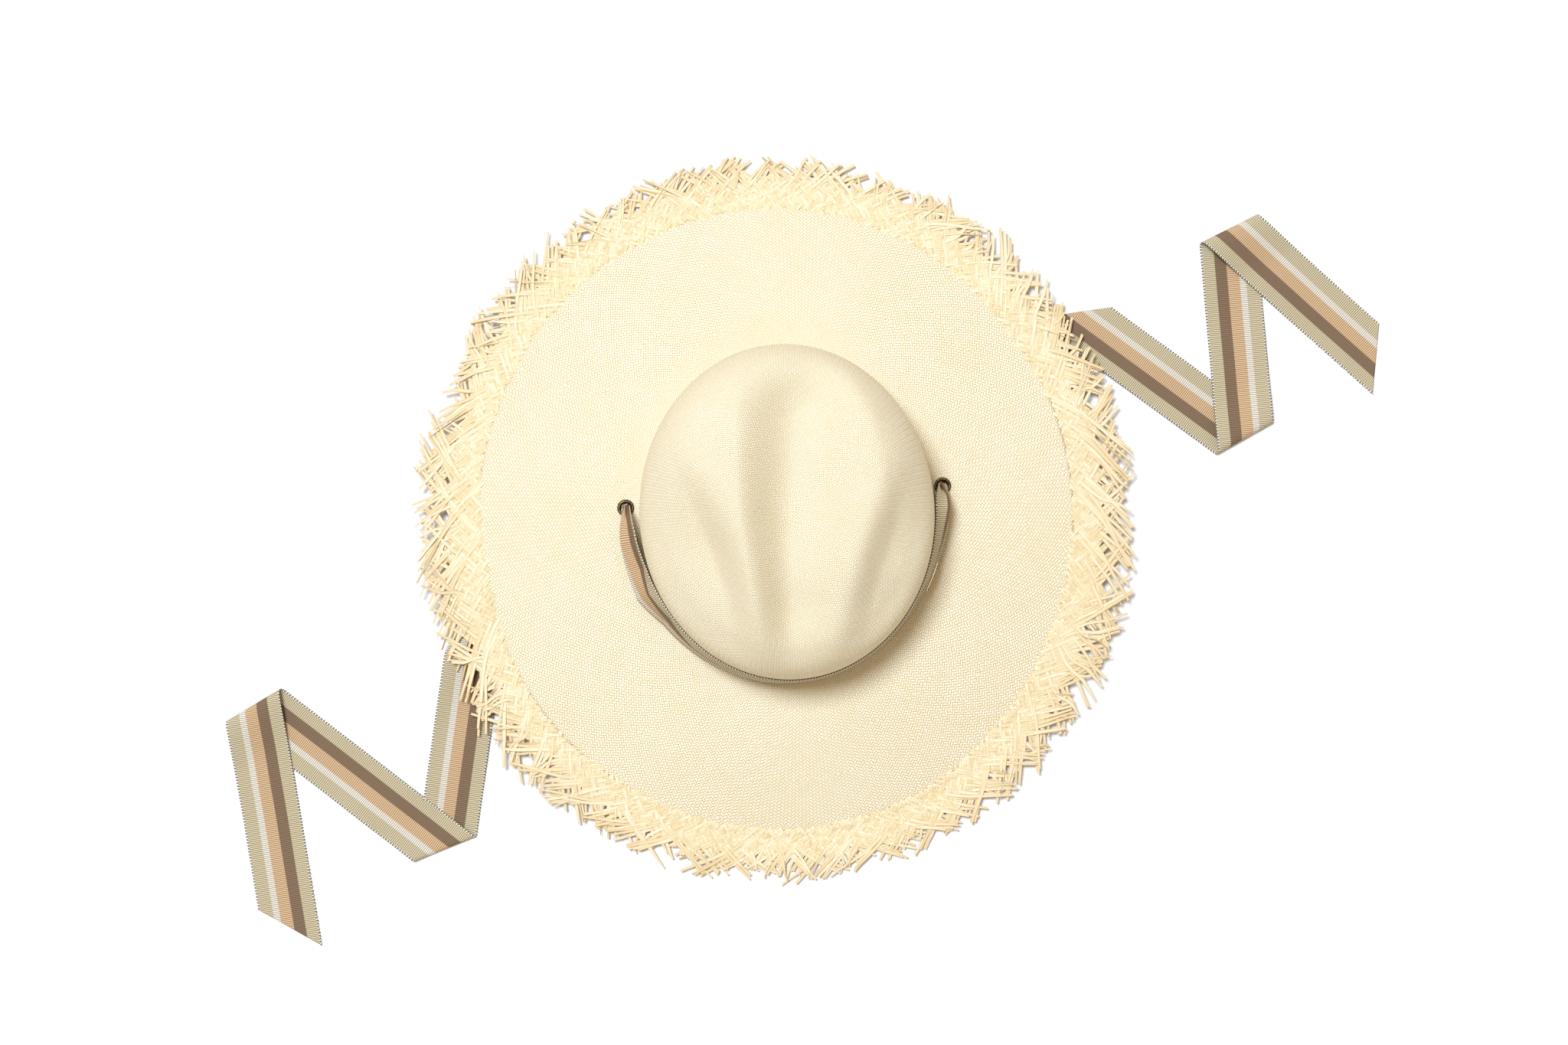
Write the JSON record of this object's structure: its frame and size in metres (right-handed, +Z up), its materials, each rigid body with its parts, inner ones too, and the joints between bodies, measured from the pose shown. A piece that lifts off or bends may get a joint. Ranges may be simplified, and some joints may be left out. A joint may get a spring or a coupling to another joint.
{
  "type": "straw sun hat",
  "caption": "Wide-brimmed woven straw sun hat with a teardrop crown, a frayed brim edge and a striped ribbon threaded through eyelets into long folded ties.",
  "frame": {"origin": "centre of the head opening, on the line where the crown meets the brim; the table it lies on is 18 mm below", "axes": "+Z up through the crown's top, -Y towards the front of the hat, +X towards its right-hand tie"},
  "size_m": [0.7186, 0.4563, 0.1252],
  "materials": {
    "straw": "bleached toquilla straw, hand-woven, matt with a slight sheen",
    "fringe": "unwoven straw ends, matt",
    "sweatband": "cotton twill, matt",
    "thread": "cotton thread",
    "eyelet": "antiqued dark bronze plating, satin",
    "bar": "pale gold plating, satin",
    "ribbon": "ribbed grosgrain striped in sage, cream, peach and brown, with a looped edge"
  },
  "bodies": {
    "hat": {"crown": "straw", "brim": "straw", "edge_row": "straw", "fringe": "fringe", "sweatband": "sweatband", "sweatband_stitches": "thread", "eyelet_left": "eyelet", "eyelet_left_washer": "eyelet", "eyelet_right": "eyelet", "eyelet_right_washer": "eyelet", "ribbon_band": "ribbon", "metal_bar": "bar", "bar_rivets": "eyelet"},
    "tie_left": {"ribbon_tie_left": "ribbon"},
    "tie_right": {"ribbon_tie_right": "ribbon"}
  },
  "joints": [
    {"name": "left_tie_swing", "type": "hinge", "parent": "hat", "child": "tie_left", "pos_m": [-0.097, 0.01, 0], "axis": [0, 0, 1], "range_deg": [-10, 10]},
    {"name": "right_tie_swing", "type": "hinge", "parent": "hat", "child": "tie_right", "pos_m": [0.095, 0.01, 0], "axis": [0, 0, 1], "range_deg": [-10, 10]}
  ]
}
